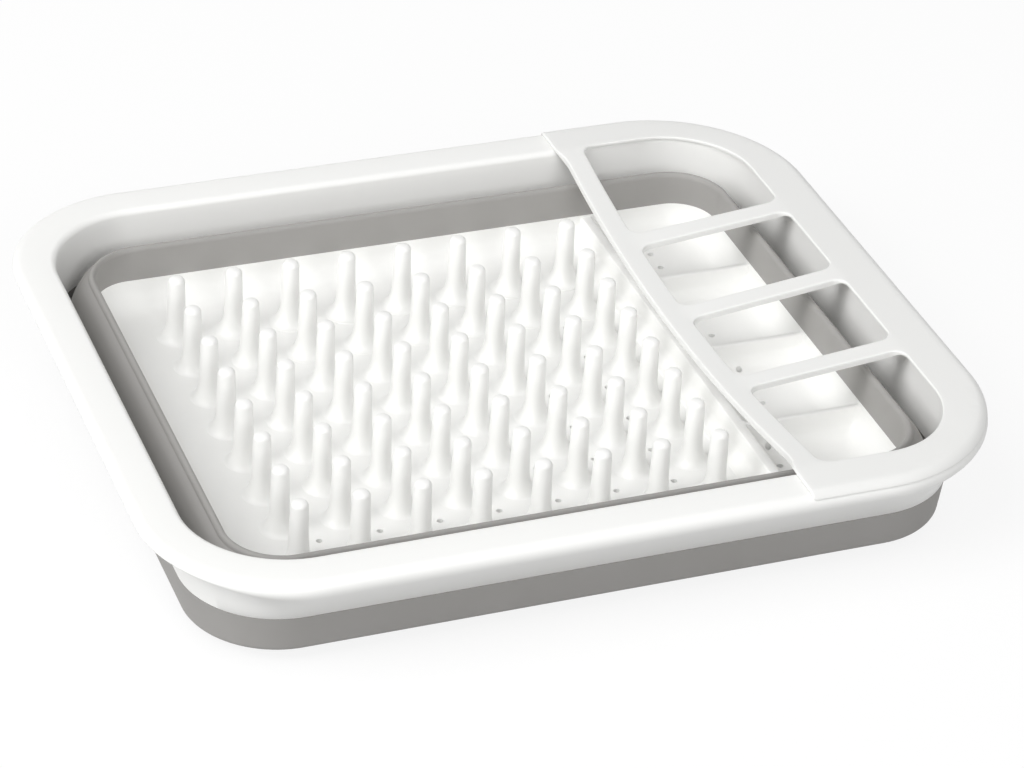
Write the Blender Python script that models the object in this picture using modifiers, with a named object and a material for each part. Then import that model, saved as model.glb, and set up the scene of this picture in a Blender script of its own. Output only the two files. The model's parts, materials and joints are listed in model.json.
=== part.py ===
"""Folding dish drainer: a pegged base tray, a soft bellows wall, a stiff rim and a lift-off cutlery frame.

Metres, +Z up. X runs along the length, with the cutlery compartments at +X, and the front is at -Y.
The origin is on the table under the middle of the whole object, which is modelled folded flat.
"""
import math

import bmesh
import bpy
from mathutils import Matrix, Vector

# Seats between touching pieces
SEAT_GAP = 0.0003
OVERRUN = 0.01

# Feet
PAD_DIAMETER = 0.020
PAD_HEIGHT = 0.003
BOSS_DIAMETER = 0.023
FOOT_INSET = 0.0185
FOOT_SIDES = 24

# Base tray
FOOT_HEIGHT = 0.0102
FLOOR_THICKNESS = 0.0022
FLOOR_DISH = 0.0012
FLOOR_FLAT_INSET = 0.075
FLOOR_FLAT_CORNER = 0.006
TRAY_EDGE_HEIGHT = 0.0140
TRAY_WALL = 0.0022
TRAY_COVE = 0.0120
TRAY_CORNER = 0.0186
COVE_STEPS = 4

# Pegs
PEG_COLUMNS = 8
PEG_ROWS = 8
PEG_END_MARGIN = 0.0324
PEG_SIDE_MARGIN = 0.0301
PEG_DIVIDER_MARGIN = 0.0198
PEG_HEIGHT = 0.0305
PEG_TIP_RADIUS = 0.0037
PEG_FOOT_RADIUS = 0.0042
PEG_FLARE_RADIUS = 0.0088
PEG_FLARE_HEIGHT = 0.0045
PEG_ROOT = 0.0010
PEG_SIDES = 8

# Cutlery compartments
CUTLERY_LENGTH = 0.0532
DIVIDER_THICKNESS = 0.0050
DIVIDER_DROP = 0.0010
RIB_THICKNESS = 0.0026
COMPARTMENT_PITCH = 0.0598
RIB_PLACES = (-1, 0, 1)

# Drain holes, the cutlery ones as shares of the compartments' length and pitch
HOLE_DIAMETER = 0.0028
HOLE_SIDES = 8
CUTLERY_HOLE_SHARES = (
    (0.41, 1.62), (0.41, 1.42), (0.41, 0.42), (0.41, -0.09),
    (0.41, -0.52), (0.41, -1.14), (0.18, -1.08), (0.18, -1.30),
)

# Rim
OPENING_LENGTH = 0.3278
OPENING_WIDTH = 0.2670
OPENING_CORNER = 0.0423
OPENING_EDGE = 0.0025
LAND_END = 0.0184
LAND_SIDE = 0.0205
RIM_CORNER = 0.0605
RIM_CORNER_RIGHT = 0.0670
RIM_EDGE = 0.0045
RIM_THICKNESS = 0.0060
RIM_UNDER_EDGE = 0.0010
HANDLE_REACH = 0.0156
HANDLE_FILLET = 0.0034
SKIRT_DEPTH = 0.0292
SKIRT_WALL = 0.0020
SKIRT_DRAFT = 0.0006
SKIRT_CORNER = 0.0403
SKIRT_NECK_CORNER = 0.0500

# Bellows
BAND_WALL = 0.0016
HINGE_WALL = 0.0013
BEND_HEIGHT = 0.0018
OUTER_BAND_HEIGHT = 0.0161
OUTER_BAND_DRAFT = 0.0015
INNER_BAND_HEIGHT = 0.0154
INNER_BAND_DRAFT = 0.0006
RIDGE_INSET_END = 0.0164
RIDGE_INSET_SIDE = 0.0139
RIDGE_CORNER = 0.0239
RIDGE_DROP = 0.0102
RIDGE_HALF_WIDTH = 0.0012
MIDDLE_SWELL = 0.0002

# Cutlery frame
COVER_THICKNESS = 0.0016
COVER_LIP = 0.0008
COVER_EDGE = 0.0007
COVER_INSET_END = 0.0038
COVER_INSET_SIDE = 0.0002
COVER_CORNER = 0.0380
COVER_EMBED = 0.0035
COVER_INLAY = 0.00015
BAR_THICKNESS = 0.0030
BAR_EDGE = 0.0006
BAR_DIP = 0.0089
BAR_LEFT_OF_DIVIDER = 0.0077
BAR_LEFT_BOW = 0.0036
BAR_RIGHT_OF_DIVIDER = 0.0019
BAR_RIGHT_BOW = 0.0030
BAR_FLARE = 0.0042
CROSS_BAR_WIDTH = 0.0096
CROSS_BAR_FLARE = 0.0036
BAR_STEPS = 16
CROSS_BAR_STEPS = 6

# Shares of the run along a bar over which its flare and its thinned end reach
FLARE_SHARES = ((0.0, 1.0), (0.035, 0.30), (0.075, 0.0))

# Plan resolution of a rounded corner and of a rounded edge
CORNER_STEPS = 8
EDGE_STEPS = 4

WHITE = (0.88, 0.88, 0.865, 1.0)
GREY = (0.165, 0.155, 0.150, 1.0)

# Heights above the table
FLOOR_TOP = FOOT_HEIGHT + FLOOR_THICKNESS
TRAY_TOP = FLOOR_TOP + TRAY_EDGE_HEIGHT
RIDGE_TOP = TRAY_TOP + INNER_BAND_HEIGHT
RIM_TOP = RIDGE_TOP + RIDGE_DROP
SKIRT_BOTTOM = RIM_TOP - SKIRT_DEPTH
FOLD_BOTTOM = SKIRT_BOTTOM - OUTER_BAND_HEIGHT
INNER_BAND_TOP = RIDGE_TOP - BEND_HEIGHT
OUTER_BAND_BOTTOM = FOLD_BOTTOM + BEND_HEIGHT
RIM_TRAVEL = 2 * (INNER_BAND_TOP - OUTER_BAND_BOTTOM)

# The frame's wrapped edge overhangs one end only, so the tub stands off centre by half of that
COVER_OVERHANG = math.sqrt((RIM_EDGE + COVER_THICKNESS) ** 2 - (RIM_EDGE - COVER_LIP) ** 2) - RIM_EDGE
TUB_X = -COVER_OVERHANG / 2


def grow(size, by):
    """Returns a rounded rectangle (half length, half width, left and right corners) moved outward."""
    return tuple(value + by for value in size)


OPENING = (OPENING_LENGTH / 2, OPENING_WIDTH / 2, OPENING_CORNER, OPENING_CORNER)
RIM = (OPENING[0] + LAND_END, OPENING[1] + LAND_SIDE, RIM_CORNER, RIM_CORNER_RIGHT)
SKIRT_OUT = (
    OPENING[0] + SKIRT_WALL - SKIRT_DRAFT, OPENING[1] + SKIRT_WALL - SKIRT_DRAFT, SKIRT_CORNER, SKIRT_CORNER,
)
FOLD = grow(SKIRT_OUT, -OUTER_BAND_DRAFT)
RIDGE = (OPENING[0] - RIDGE_INSET_END, OPENING[1] - RIDGE_INSET_SIDE, RIDGE_CORNER, RIDGE_CORNER)
RIDGE_INSIDE = grow(RIDGE, -RIDGE_HALF_WIDTH)
TRAY = (RIDGE_INSIDE[0] - INNER_BAND_DRAFT, RIDGE_INSIDE[1] - INNER_BAND_DRAFT, TRAY_CORNER, TRAY_CORNER)
COVER_OPENING = (OPENING[0] - COVER_INSET_END, OPENING[1] - COVER_INSET_SIDE, COVER_CORNER, COVER_CORNER)

# Places along X, from the tub's middle
DIVIDER_RIGHT = TRAY[0] - CUTLERY_LENGTH
DIVIDER_LEFT = DIVIDER_RIGHT - DIVIDER_THICKNESS
DIVIDER_X = (DIVIDER_LEFT + DIVIDER_RIGHT) / 2
PEG_FIRST_X = -TRAY[0] + PEG_END_MARGIN
PEG_LAST_X = DIVIDER_LEFT - PEG_DIVIDER_MARGIN
PEG_PITCH_X = (PEG_LAST_X - PEG_FIRST_X) / (PEG_COLUMNS - 1)
PEG_LAST_Y = TRAY[1] - PEG_SIDE_MARGIN
PEG_PITCH_Y = 2 * PEG_LAST_Y / (PEG_ROWS - 1)


def new_collection(name):
    """Makes a collection in the scene."""
    collection = bpy.data.collections.new(name)
    bpy.context.scene.collection.children.link(collection)
    return collection


def add_object(name, mesh, collection, x=TUB_X):
    """Links a mesh as an object that stands at the tub's middle."""
    thing = bpy.data.objects.new(name, mesh)
    thing.location.x = x
    collection.objects.link(thing)
    return thing


def as_guide(thing):
    """Marks an object as one that only shapes another."""
    thing.hide_render = True
    thing.display_type = "WIRE"
    return thing


def paint(thing, color, roughness):
    """Gives an object a plastic of its own."""
    material = bpy.data.materials.new(thing.name + "_material")
    material.use_nodes = True
    shader = material.node_tree.nodes["Principled BSDF"]
    shader.inputs["Base Color"].default_value = color
    shader.inputs["Roughness"].default_value = roughness
    shader.inputs["Metallic"].default_value = 0.0
    material.diffuse_color = color
    thing.data.materials.append(material)


def boolean(thing, other, operation):
    """Joins, cuts or limits one object by another."""
    modifier = thing.modifiers.new(other.name, "BOOLEAN")
    modifier.operation = operation
    modifier.object = other
    modifier.solver = "EXACT"


def ring(size, z):
    """Returns the points of a rounded rectangle at one height, counter-clockwise from +X."""
    half_x, half_y, left_corner, right_corner = size
    points = []
    for quarter, (side_x, side_y) in enumerate(((1, 1), (-1, 1), (-1, -1), (1, -1))):
        corner = right_corner if side_x > 0 else left_corner
        for step in range(CORNER_STEPS + 1):
            angle = math.radians(90 * (quarter + step / CORNER_STEPS))
            points.append(Vector((
                side_x * (half_x - corner) + corner * math.cos(angle),
                side_y * (half_y - corner) + corner * math.sin(angle),
                z,
            )))
    return points


def loft(name, sections, hoop):
    """Skins unlike sections with equal point counts; a hoop's last section meets its first."""
    model = bmesh.new()
    rows = [[model.verts.new(point) for point in section] for section in sections]
    pairs = list(zip(rows, rows[1:]))
    if hoop:
        pairs.append((rows[-1], rows[0]))
    else:
        model.faces.new(rows[0])
        model.faces.new(rows[-1])
    for low, high in pairs:
        for index, vertex in enumerate(low):
            after = (index + 1) % len(low)
            model.faces.new((vertex, low[after], high[after], high[index]))
    bmesh.ops.recalc_face_normals(model, faces=model.faces)
    mesh = bpy.data.meshes.new(name)
    model.to_mesh(mesh)
    model.free()
    mesh.shade_smooth()
    mesh.set_sharp_from_angle(angle=math.radians(35))
    return mesh


def rounding(size, inset, radius, center_z, start, end, steps):
    """Returns the rings of a rounded outer edge, from a start to an end angle above level."""
    rings = []
    for step in range(steps + 1):
        angle = start + (end - start) * step / steps
        out = radius * math.cos(angle) - inset
        rings.append(ring(grow(size, out), center_z + radius * math.sin(angle)))
    return rings


def box(name, low, high, collection):
    """Makes a box between two corners given from the tub's middle."""
    model = bmesh.new()
    bmesh.ops.create_cube(model, size=1)
    center = [(a + b) / 2 for a, b in zip(low, high)]
    span = [b - a for a, b in zip(low, high)]
    model.transform(Matrix.Translation(center) @ Matrix.Diagonal((*span, 1)))
    mesh = bpy.data.meshes.new(name)
    model.to_mesh(mesh)
    model.free()
    return as_guide(add_object(name, mesh, collection))


def disc(model, x, y, low, high, radius, sides):
    """Adds an upright cylinder to a mesh that is being built."""
    middle = Matrix.Translation((x, y, (low + high) / 2))
    bmesh.ops.create_cone(
        model, cap_ends=True, segments=sides, radius1=radius, radius2=radius, depth=high - low, matrix=middle,
    )


def floor_level(x, y):
    """Returns the height of the dished floor at a place given from the tub's middle."""
    from_edge = min(TRAY[0] - abs(x), TRAY[1] - abs(y))
    share = (from_edge - TRAY_COVE) / (FLOOR_FLAT_INSET - TRAY_COVE)
    return FLOOR_TOP + FLOOR_DISH * (1 - min(max(share, 0), 1))


def tray_skin(depth):
    """Returns the tray's rings at a depth under its inner face, from the edge down to the flat."""
    center_z = FLOOR_TOP + FLOOR_DISH + TRAY_COVE
    rings = [ring(grow(TRAY, depth), TRAY_TOP)]
    rings += rounding(TRAY, TRAY_COVE, TRAY_COVE + depth, center_z, 0, -math.pi / 2, COVE_STEPS)
    flat = (TRAY[0] - FLOOR_FLAT_INSET, TRAY[1] - FLOOR_FLAT_INSET, FLOOR_FLAT_CORNER, FLOOR_FLAT_CORNER)
    rings.append(ring(flat, FLOOR_TOP - depth))
    return rings


def make_pegs(guides):
    """Turns one peg and stands a copy of it on the floor at each place of the field."""
    body = PEG_FLARE_HEIGHT + PEG_FLARE_HEIGHT / 2
    shoulder = PEG_TIP_RADIUS * math.sin(math.pi / 4)
    waist = (PEG_FOOT_RADIUS + PEG_FLARE_RADIUS) / 2 - PEG_FOOT_RADIUS / 5
    profile = [
        (0, PEG_HEIGHT),
        (shoulder, PEG_HEIGHT - PEG_TIP_RADIUS + shoulder),
        (PEG_TIP_RADIUS, PEG_HEIGHT - PEG_TIP_RADIUS),
        (PEG_FOOT_RADIUS, body),
        (waist, PEG_FLARE_HEIGHT / 4),
        (PEG_FLARE_RADIUS, -PEG_ROOT / 2),
        (PEG_FLARE_RADIUS, -PEG_ROOT),
        (0, -PEG_ROOT),
    ]
    line = bpy.data.meshes.new("peg_profile")
    edges = [(index, index + 1) for index in range(len(profile) - 1)]
    line.from_pydata([(radius, 0, height) for radius, height in profile], edges, [])
    peg = as_guide(add_object("peg_profile", line, guides, 0))
    screw = peg.modifiers.new("turn", "SCREW")
    screw.steps = PEG_SIDES
    screw.render_steps = PEG_SIDES
    screw.use_merge_vertices = True
    screw.merge_threshold = PEG_ROOT / 100
    turned = bpy.data.meshes.new_from_object(peg.evaluated_get(bpy.context.evaluated_depsgraph_get()))

    model = bmesh.new()
    for column in range(PEG_COLUMNS):
        for row in range(PEG_ROWS):
            x = PEG_FIRST_X + column * PEG_PITCH_X
            y = -PEG_LAST_Y + row * PEG_PITCH_Y
            placed = turned.copy()
            placed.transform(Matrix.Translation((x, y, floor_level(x, y))))
            model.from_mesh(placed)
            bpy.data.meshes.remove(placed)
    bmesh.ops.recalc_face_normals(model, faces=model.faces)
    mesh = bpy.data.meshes.new("peg_field")
    model.to_mesh(mesh)
    model.free()
    return as_guide(add_object("peg_field", mesh, guides))


def foot_places():
    """Returns the four feet's names and places from the tub's middle."""
    for end, side_x in (("left", -1), ("right", 1)):
        for side, side_y in (("front", -1), ("back", 1)):
            yield f"{side}_{end}", side_x * (TRAY[0] - FOOT_INSET), side_y * (TRAY[1] - FOOT_INSET)


def make_bosses(guides):
    """Makes the tray's four bosses, which carry the foot pads."""
    model = bmesh.new()
    for _, x, y in foot_places():
        top = floor_level(x, y) - FLOOR_THICKNESS / 2
        disc(model, x, y, PAD_HEIGHT, top, BOSS_DIAMETER / 2, FOOT_SIDES)
    mesh = bpy.data.meshes.new("foot_bosses")
    model.to_mesh(mesh)
    model.free()
    return as_guide(add_object("foot_bosses", mesh, guides))


def make_holes(guides):
    """Makes the cutters of the drain holes between the pegs and in the cutlery compartments."""
    places = [
        (PEG_FIRST_X + (column + 1 / 2) * PEG_PITCH_X, -PEG_LAST_Y + (row + 1 / 2) * PEG_PITCH_Y)
        for column in range(PEG_COLUMNS - 1) for row in range(PEG_ROWS - 1)
    ]
    places += [
        (DIVIDER_RIGHT + share_x * CUTLERY_LENGTH, share_y * COMPARTMENT_PITCH)
        for share_x, share_y in CUTLERY_HOLE_SHARES
    ]
    model = bmesh.new()
    for x, y in places:
        disc(model, x, y, PAD_HEIGHT, TRAY_TOP, HOLE_DIAMETER / 2, HOLE_SIDES)
    mesh = bpy.data.meshes.new("drain_holes")
    model.to_mesh(mesh)
    model.free()
    return as_guide(add_object("drain_holes", mesh, guides))


def make_divider(guides):
    """Makes the divider wall and the compartments' ribs, shaped to the inside of the tray."""
    low = FLOOR_TOP - FLOOR_THICKNESS
    high = TRAY_TOP - DIVIDER_DROP
    reach_x = TRAY[0] + TRAY_WALL
    reach_y = TRAY[1] + TRAY_WALL
    divider = box("divider", (DIVIDER_LEFT, -reach_y, low), (DIVIDER_RIGHT, reach_y, high), guides)
    for place in RIB_PLACES:
        y = place * COMPARTMENT_PITCH
        rib = box(
            f"rib_{place + 2}",
            (DIVIDER_X, y - RIB_THICKNESS / 2, low),
            (reach_x, y + RIB_THICKNESS / 2, high - SEAT_GAP),
            guides,
        )
        boolean(divider, rib, "UNION")
    inside = as_guide(add_object("tray_inside", loft("tray_inside", tray_skin(TRAY_WALL / 2), False), guides))
    boolean(divider, inside, "INTERSECT")
    return divider


def make_base(parts, guides):
    """Makes the base tray with its pegs, divider, ribs, bosses and drain holes."""
    skin = tray_skin(TRAY_WALL)
    skin.reverse()
    tray = add_object("base_tray", loft("base_tray", skin + tray_skin(0), False), parts)
    boolean(tray, make_holes(guides), "DIFFERENCE")
    boolean(tray, make_divider(guides), "UNION")
    boolean(tray, make_bosses(guides), "UNION")
    boolean(tray, make_pegs(guides), "UNION")
    paint(tray, WHITE, 0.34)
    return tray


def make_foot_pads(parts):
    """Makes the four soft pads under the bosses."""
    pads = []
    for place, x, y in foot_places():
        model = bmesh.new()
        disc(model, 0, 0, 0, PAD_HEIGHT - SEAT_GAP, PAD_DIAMETER / 2, FOOT_SIDES)
        mesh = bpy.data.meshes.new("foot_pad_" + place)
        model.to_mesh(mesh)
        model.free()
        mesh.shade_smooth()
        mesh.set_sharp_from_angle(angle=math.radians(35))
        pad = add_object("foot_pad_" + place, mesh, parts, TUB_X + x)
        pad.location.y = y
        paint(pad, GREY, 0.6)
        pads.append(pad)
    return pads


def make_rim(parts):
    """Makes the stiff rim: a flat land, rounded edges, end handles and the skirt."""
    neck = (RIM[0] - HANDLE_REACH, RIM[1] - HANDLE_FILLET, SKIRT_NECK_CORNER, SKIRT_NECK_CORNER)
    root_corner = (SKIRT_NECK_CORNER + RIM_CORNER) / 2
    root = (neck[0] + HANDLE_FILLET, RIM[1] - RIM_UNDER_EDGE - SEAT_GAP, root_corner, root_corner)
    underside = RIM_TOP - RIM_THICKNESS
    ease = OPENING_EDGE * (1 - math.cos(math.pi / 4))
    sections = [
        ring(grow(SKIRT_OUT, -SKIRT_WALL), SKIRT_BOTTOM),
        ring(OPENING, RIM_TOP - OPENING_EDGE),
        ring(grow(OPENING, ease), RIM_TOP - ease),
        ring(grow(OPENING, OPENING_EDGE), RIM_TOP),
    ]
    sections += rounding(RIM, RIM_EDGE, RIM_EDGE, RIM_TOP - RIM_EDGE, math.pi / 2, 0, EDGE_STEPS)
    sections += [
        ring(RIM, underside + RIM_UNDER_EDGE),
        ring(grow(RIM, -RIM_UNDER_EDGE), underside),
        ring(root, underside - SEAT_GAP),
        ring(neck, underside - HANDLE_FILLET),
        ring(SKIRT_OUT, SKIRT_BOTTOM),
    ]
    rim = add_object("rim_frame", loft("rim_frame", sections, True), parts)
    paint(rim, WHITE, 0.30)
    return rim


def make_outer_band(parts):
    """Makes the bellows' outer band, flush under the skirt."""
    top = SKIRT_BOTTOM - SEAT_GAP
    sections = [
        ring(SKIRT_OUT, top),
        ring(grow(SKIRT_OUT, -BAND_WALL), top),
        ring(grow(FOLD, -BAND_WALL), OUTER_BAND_BOTTOM),
        ring(FOLD, OUTER_BAND_BOTTOM),
    ]
    band = add_object("bellows_outer_band", loft("bellows_outer_band", sections, True), parts)
    paint(band, GREY, 0.6)
    return band


def make_inner_band(parts):
    """Makes the bellows' inner band, which stands on the tray's edge."""
    bottom = TRAY_TOP + SEAT_GAP
    sections = [
        ring(TRAY, bottom),
        ring(grow(TRAY, BAND_WALL), bottom),
        ring(grow(RIDGE_INSIDE, BAND_WALL), INNER_BAND_TOP),
        ring(RIDGE_INSIDE, INNER_BAND_TOP),
    ]
    band = add_object("bellows_inner_band", loft("bellows_inner_band", sections, True), parts)
    paint(band, GREY, 0.6)
    return band


def make_middle_band(parts):
    """Makes the bellows' folding band, with its bends over the inner and under the outer band."""
    crest = INNER_BAND_TOP + SEAT_GAP
    cup = OUTER_BAND_BOTTOM - SEAT_GAP
    rise = RIDGE_TOP - crest
    drop = cup - FOLD_BOTTOM
    crest_out = grow(RIDGE_INSIDE, BAND_WALL + SEAT_GAP + HINGE_WALL)
    crest_in = grow(RIDGE_INSIDE, BAND_WALL + SEAT_GAP)
    cup_out = grow(FOLD, -BAND_WALL - SEAT_GAP)
    cup_in = grow(cup_out, -HINGE_WALL)
    halfway = (crest + cup) / 2
    outside = tuple((a + b) / 2 + MIDDLE_SWELL for a, b in zip(crest_out, cup_out))
    inside = tuple((a + b) / 2 - MIDDLE_SWELL for a, b in zip(crest_in, cup_in))
    sections = [
        ring(RIDGE_INSIDE, crest),
        ring(grow(RIDGE_INSIDE, rise / 8), crest + rise / 2),
        ring(grow(RIDGE_INSIDE, rise / 2), RIDGE_TOP - rise / 8),
        ring(grow(RIDGE_INSIDE, BAND_WALL), RIDGE_TOP),
        ring(grow(crest_out, -rise / 4), RIDGE_TOP - rise / 3),
        ring(crest_out, crest),
        ring(outside, halfway),
        ring(cup_out, cup),
        ring(FOLD, cup),
        ring(grow(FOLD, -drop / 8), cup - drop / 2),
        ring(grow(FOLD, -drop / 2), FOLD_BOTTOM + drop / 8),
        ring(grow(FOLD, -BAND_WALL), FOLD_BOTTOM),
        ring(grow(cup_in, drop / 4), FOLD_BOTTOM + drop / 3),
        ring(cup_in, cup),
        ring(inside, halfway),
        ring(crest_in, crest),
    ]
    band = add_object("bellows_middle_band", loft("bellows_middle_band", sections, True), parts)
    paint(band, GREY, 0.6)
    return band


def bar_share(y):
    """Returns how far along its bow the long bar is: 0 at the ends and 1 in the middle."""
    return 1 - (y / COVER_OPENING[1]) ** 2


def bar_top(y):
    """Returns the height of the long bar's top at a place across the drainer."""
    return RIM_TOP + COVER_THICKNESS - COVER_INLAY - BAR_DIP * bar_share(y)


def strip_section(across_low, across_high, top, thickness):
    """Returns the six corners, as (across, height), of a strip with eased upper edges."""
    return (
        (across_low, top - thickness), (across_low, top - BAR_EDGE), (across_low + BAR_EDGE, top),
        (across_high - BAR_EDGE, top), (across_high, top - BAR_EDGE), (across_high, top - thickness),
    )


def flare(share, widest):
    """Returns what a bar's end adds to one side at a share of its run from the end."""
    for (near, wide), (far, narrow) in zip(FLARE_SHARES, FLARE_SHARES[1:]):
        if near <= share <= far:
            return widest * (wide + (narrow - wide) * (share - near) / (far - near))
    return 0.0


def bar_stations(steps):
    """Returns the shares of a bar's run at which its section is set, ends and flares included."""
    inner = [FLARE_SHARES[-1][0] + (1 - 2 * FLARE_SHARES[-1][0]) * step / steps for step in range(steps + 1)]
    ends = [share for share, _ in FLARE_SHARES[:-1]]
    return ends + inner + [1 - share for share in reversed(ends)]


def make_long_bar(guides):
    """Makes the frame's long bar, which bows toward the pegs and dips in the middle."""
    half = COVER_OPENING[1]
    thin = COVER_THICKNESS - SEAT_GAP - 2 * COVER_INLAY
    sections = []
    places = [(-half - COVER_EMBED, 0.0)]
    places += [(-half + 2 * half * share, share) for share in bar_stations(BAR_STEPS)]
    places += [(half + COVER_EMBED, 1.0)]
    for y, share in places:
        held = max(-half, min(half, y))
        bow = bar_share(held)
        from_end = min(share, 1 - share)
        thickness = thin + (BAR_THICKNESS - thin) * min(from_end / FLARE_SHARES[1][0], 1)
        left = DIVIDER_X - BAR_LEFT_OF_DIVIDER - BAR_LEFT_BOW * bow + COVER_INLAY
        right = DIVIDER_X + BAR_RIGHT_OF_DIVIDER - BAR_RIGHT_BOW * bow + flare(from_end, BAR_FLARE)
        corners = strip_section(left, right, bar_top(held), thickness)
        sections.append([Vector((across, y, height)) for across, height in corners])
    return as_guide(add_object("long_bar", loft("long_bar", sections, False), guides))


def make_cross_bar(guides, place):
    """Makes one of the frame's cross bars, which rise from the long bar to the end of the frame."""
    y = place * COMPARTMENT_PITCH
    start = DIVIDER_X + BAR_RIGHT_OF_DIVIDER - BAR_RIGHT_BOW * bar_share(y)
    end = COVER_OPENING[0]
    low = bar_top(y) - COVER_INLAY
    high = bar_top(COVER_OPENING[1])
    thin = COVER_THICKNESS - SEAT_GAP - 2 * COVER_INLAY
    sections = []
    places = [(start - COVER_EMBED, 0.0)]
    places += [(start + (end - start) * share, share) for share in bar_stations(CROSS_BAR_STEPS)]
    places += [(end + COVER_EMBED, 1.0)]
    for x, share in places:
        half = CROSS_BAR_WIDTH / 2 + flare(min(share, 1 - share), CROSS_BAR_FLARE)
        top = low + (high - low) * share
        full = BAR_THICKNESS - 2 * COVER_INLAY
        thickness = thin + (full - thin) * min((1 - share) / FLARE_SHARES[1][0], 1)
        corners = strip_section(y - half, y + half, top, thickness)
        sections.append([Vector((x, across, height)) for across, height in corners])
    name = f"cross_bar_{place + 2}"
    return as_guide(add_object(name, loft(name, sections, False), guides))


def make_cutlery_frame(parts, guides):
    """Makes the cutlery frame: a cover over the rim's end, a long bar and three cross bars."""
    center_z = RIM_TOP - RIM_EDGE
    lip_z = RIM_EDGE - COVER_LIP
    inner = RIM_EDGE + SEAT_GAP
    outer = RIM_EDGE + COVER_THICKNESS
    top = RIM_TOP + COVER_THICKNESS
    sections = rounding(
        RIM, RIM_EDGE, inner, center_z, math.asin(lip_z / inner), math.pi / 2, EDGE_STEPS,
    )
    sections += [
        ring(COVER_OPENING, RIM_TOP + SEAT_GAP),
        ring(COVER_OPENING, top - COVER_EDGE),
        ring(grow(COVER_OPENING, COVER_EDGE), top),
    ]
    sections += rounding(
        RIM, RIM_EDGE, outer, center_z, math.pi / 2, math.asin(lip_z / outer), EDGE_STEPS,
    )
    frame = add_object("cutlery_frame", loft("cutlery_frame", sections, True), parts)
    left = DIVIDER_X - BAR_LEFT_OF_DIVIDER
    reach_x = RIM[0] + OVERRUN
    reach_y = RIM[1] + OVERRUN
    end = box("frame_end", (left, -reach_y, FOOT_HEIGHT), (reach_x, reach_y, RIM_TOP + OVERRUN), guides)
    boolean(frame, end, "INTERSECT")
    boolean(frame, make_long_bar(guides), "UNION")
    for place in RIB_PLACES:
        boolean(frame, make_cross_bar(guides, place), "UNION")
    paint(frame, WHITE, 0.28)
    return frame


def add_joint(name, z, collection):
    """Makes the empty that a moving body's pieces hang from."""
    joint = bpy.data.objects.new(name, None)
    joint.location = (TUB_X, 0, z)
    collection.objects.link(joint)
    return joint


def hang(thing, joint):
    """Parents an object to a joint and leaves it in its place."""
    thing.parent = joint
    thing.matrix_parent_inverse = Matrix.Translation(joint.location).inverted()


def main():
    """Builds the drainer in its folded position."""
    for thing in list(bpy.data.objects):
        bpy.data.objects.remove(thing, do_unlink=True)
    parts = new_collection("folding_dish_drainer")
    guides = new_collection("guides")

    make_base(parts, guides)
    make_foot_pads(parts)
    make_inner_band(parts)
    make_middle_band(parts)

    rim_lift = add_joint("rim_lift", INNER_BAND_TOP, parts)
    hang(make_rim(parts), rim_lift)
    hang(make_outer_band(parts), rim_lift)

    frame_lift = add_joint("frame_lift", RIM_TOP, parts)
    hang(frame_lift, rim_lift)
    hang(make_cutlery_frame(parts, guides), frame_lift)

    print(f"rim travel {RIM_TRAVEL:.5f} m, ridge hinge {INNER_BAND_TOP:.5f} m, rim top {RIM_TOP:.5f} m")
    print(f"peg pitch {PEG_PITCH_X:.5f} by {PEG_PITCH_Y:.5f} m")
    print(f"divider from {DIVIDER_LEFT:.5f} to {DIVIDER_RIGHT:.5f} m")


main()
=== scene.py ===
"""Looks for the folding dish drainer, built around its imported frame.

Metres, in the frame's own axes: X runs along the length with the cutlery end at +X,
the front is at -Y, +Z is up. The sizes given for places along X are measured from the tub's
middle, which stands TUB_X off the frame's origin.
"""
import json
import logging
import math
from collections.abc import Callable, Iterable
from dataclasses import dataclass, field, replace
from enum import Enum

import bmesh
import bpy
from mathutils import Euler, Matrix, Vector
from mathutils.geometry import delaunay_2d_cdt

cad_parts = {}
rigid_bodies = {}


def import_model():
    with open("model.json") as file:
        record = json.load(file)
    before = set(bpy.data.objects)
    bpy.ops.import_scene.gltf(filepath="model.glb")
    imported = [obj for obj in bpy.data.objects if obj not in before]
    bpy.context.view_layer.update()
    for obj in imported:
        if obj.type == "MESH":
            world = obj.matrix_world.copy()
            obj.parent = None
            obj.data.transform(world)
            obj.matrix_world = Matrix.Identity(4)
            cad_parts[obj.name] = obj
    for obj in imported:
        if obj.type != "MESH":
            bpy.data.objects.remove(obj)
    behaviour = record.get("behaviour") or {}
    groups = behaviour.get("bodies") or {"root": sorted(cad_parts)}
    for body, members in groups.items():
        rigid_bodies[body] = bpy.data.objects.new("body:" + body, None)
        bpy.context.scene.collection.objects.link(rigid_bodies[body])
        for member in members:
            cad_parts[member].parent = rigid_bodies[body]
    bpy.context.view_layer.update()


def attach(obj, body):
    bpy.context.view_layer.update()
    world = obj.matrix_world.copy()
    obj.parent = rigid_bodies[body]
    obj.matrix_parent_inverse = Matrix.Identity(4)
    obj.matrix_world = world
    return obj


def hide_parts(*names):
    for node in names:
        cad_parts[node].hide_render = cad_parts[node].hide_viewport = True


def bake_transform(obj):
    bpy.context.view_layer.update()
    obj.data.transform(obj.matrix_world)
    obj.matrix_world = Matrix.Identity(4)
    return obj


LOG = logging.getLogger("dish_drainer")
MM = 0.001

# Heights above the table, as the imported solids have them
OUTER_BAND_BOTTOM = 0.0085
FLOOR_TOP = 0.0124
SKIRT_BOTTOM = 0.0228
TRAY_TOP = 0.0264
INNER_BAND_TOP = 0.0400
RIM_TOP = 0.0520

# The tub's middle, which the cover's overhang pushes off the frame's origin
TUB_X = -0.000175

# How finely curves are stepped
CORNER_STEPS = 24
EDGE_STEPS = 8
TIE = 0.002
SHARP_ANGLE = math.radians(38)
QUADRANTS = ((1, 1), (-1, 1), (-1, -1), (1, -1))
AT_EDGE = 1e-6

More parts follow.
